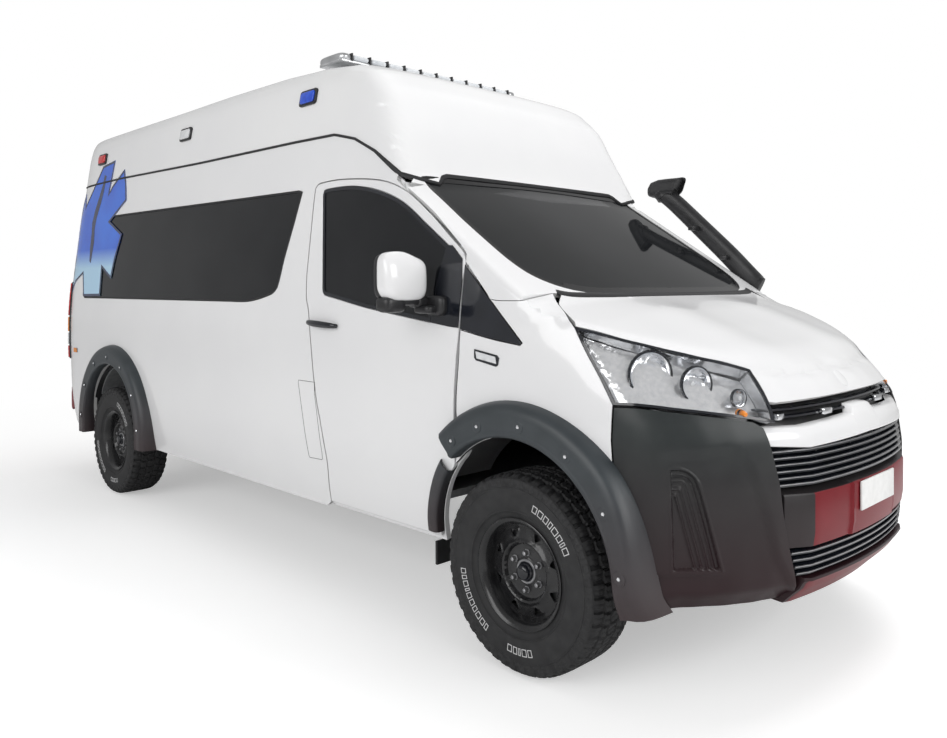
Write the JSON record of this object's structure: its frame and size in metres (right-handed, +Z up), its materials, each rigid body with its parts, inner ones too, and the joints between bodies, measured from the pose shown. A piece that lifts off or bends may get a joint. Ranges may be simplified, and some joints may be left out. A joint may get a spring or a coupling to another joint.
{
  "type": "ambulance",
  "caption": "High-roof van ambulance on raised four-wheel-drive running gear: opening front doors, bonnet and tailgate, steered front wheels, roof light bar and snorkel.",
  "frame": {"origin": "on the ground under the middle of the bounding box, halfway along the length, on the centre plane", "axes": "+X forward, +Y to the left of the vehicle, +Z up"},
  "size_m": [5.915, 2.45, 2.695],
  "materials": {
    "body_white": "gloss",
    "roof_white": "gloss",
    "frame_black": "satin",
    "floor_grey": "satin",
    "dark_glass": "polished",
    "lamp_clear": "polished",
    "lamp_red": "gloss",
    "lamp_blue": "gloss",
    "trim_charcoal": "textured",
    "bumper_maroon": "gloss",
    "trim_black": "matte",
    "rubber_black": "matte",
    "tyre_black": "matte",
    "wheel_black": "gloss",
    "steel_grey": "rough",
    "engine_grey": "cast",
    "exhaust_steel": "satin",
    "interior_grey": "matte",
    "wall_white": "satin",
    "seat_fabric": "woven",
    "bench_vinyl": "satin",
    "bar_silver": "satin"
  },
  "bodies": {
    "body": {"chassis_frame": "frame_black", "floor": "floor_grey", "body_side_right": "body_white", "body_side_left": "body_white", "front_fenders": "body_white", "cab_front": "trim_black", "high_roof": "roof_white", "windscreen": "dark_glass", "side_windows": "dark_glass", "sliding_door": "body_white", "partition": "wall_white", "dashboard": "interior_grey", "cab_seats": "seat_fabric", "attendant_bench": "bench_vinyl", "front_bumper": "trim_charcoal", "grille": "trim_black", "headlights": "lamp_clear", "tail_lights": "lamp_red", "rear_bumper": "bumper_maroon", "wheel_flares": "trim_charcoal", "mudflaps": "rubber_black", "snorkel": "trim_black", "light_bar": "bar_silver", "side_strobes": "lamp_blue", "front_suspension": "steel_grey", "rear_axle": "steel_grey", "engine": "engine_grey", "exhaust": "exhaust_steel", "fuel_tank": "trim_black"},
    "knuckle_right": {"knuckle_right": "steel_grey"},
    "knuckle_left": {"knuckle_left": "steel_grey"},
    "wheel_front_right": {"rim_front_right": "wheel_black", "tyre_front_right": "tyre_black"},
    "wheel_front_left": {"rim_front_left": "wheel_black", "tyre_front_left": "tyre_black"},
    "wheel_rear_right": {"rim_rear_right": "wheel_black", "tyre_rear_right": "tyre_black"},
    "wheel_rear_left": {"rim_rear_left": "wheel_black", "tyre_rear_left": "tyre_black"},
    "door_right": {"front_door_right": "body_white", "door_glass_right": "dark_glass", "mirror_right": "body_white"},
    "door_left": {"front_door_left": "body_white", "door_glass_left": "dark_glass", "mirror_left": "body_white"},
    "bonnet": {"bonnet": "body_white"},
    "tailgate": {"tailgate": "body_white", "tailgate_glass": "dark_glass"}
  },
  "joints": [
    {"name": "steer_right", "type": "hinge", "parent": "body", "child": "knuckle_right", "pos_m": [2.0375, -0.7855, 0.375], "axis": [0, 0, 1], "range_deg": [-33, 33]},
    {"name": "steer_left", "type": "hinge", "parent": "body", "child": "knuckle_left", "pos_m": [2.0375, 0.7855, 0.375], "axis": [0, 0, 1], "range_deg": [-33, 33]},
    {"name": "wheel_front_right_spin", "type": "hinge", "parent": "knuckle_right", "child": "wheel_front_right", "pos_m": [2.0375, -0.8705, 0.375], "axis": [0, 1, 0], "continuous": true},
    {"name": "wheel_front_left_spin", "type": "hinge", "parent": "knuckle_left", "child": "wheel_front_left", "pos_m": [2.0375, 0.8705, 0.375], "axis": [0, 1, 0], "continuous": true},
    {"name": "wheel_rear_right_spin", "type": "hinge", "parent": "body", "child": "wheel_rear_right", "pos_m": [-1.8225, -0.8705, 0.375], "axis": [0, 1, 0], "continuous": true},
    {"name": "wheel_rear_left_spin", "type": "hinge", "parent": "body", "child": "wheel_rear_left", "pos_m": [-1.8225, 0.8705, 0.375], "axis": [0, 1, 0], "continuous": true},
    {"name": "door_right_hinge", "type": "hinge", "parent": "body", "child": "door_right", "pos_m": [1.6325, -0.957, 1], "axis": [0, 0, 1], "range_deg": [0, 68]},
    {"name": "door_left_hinge", "type": "hinge", "parent": "body", "child": "door_left", "pos_m": [1.6325, 0.957, 1], "axis": [0, 0, -1], "range_deg": [0, 68]},
    {"name": "bonnet_hinge", "type": "hinge", "parent": "body", "child": "bonnet", "pos_m": [2.2025, 0, 1.372], "axis": [0, -1, 0], "range_deg": [0, 50]},
    {"name": "tailgate_hinge", "type": "hinge", "parent": "body", "child": "tailgate", "pos_m": [-2.7805, 0, 2.173], "axis": [0, 1, 0], "range_deg": [0, 85]}
  ],
  "couplings": [
    {"joint": "steer_left", "follows": "steer_right", "ratio": 1}
  ]
}
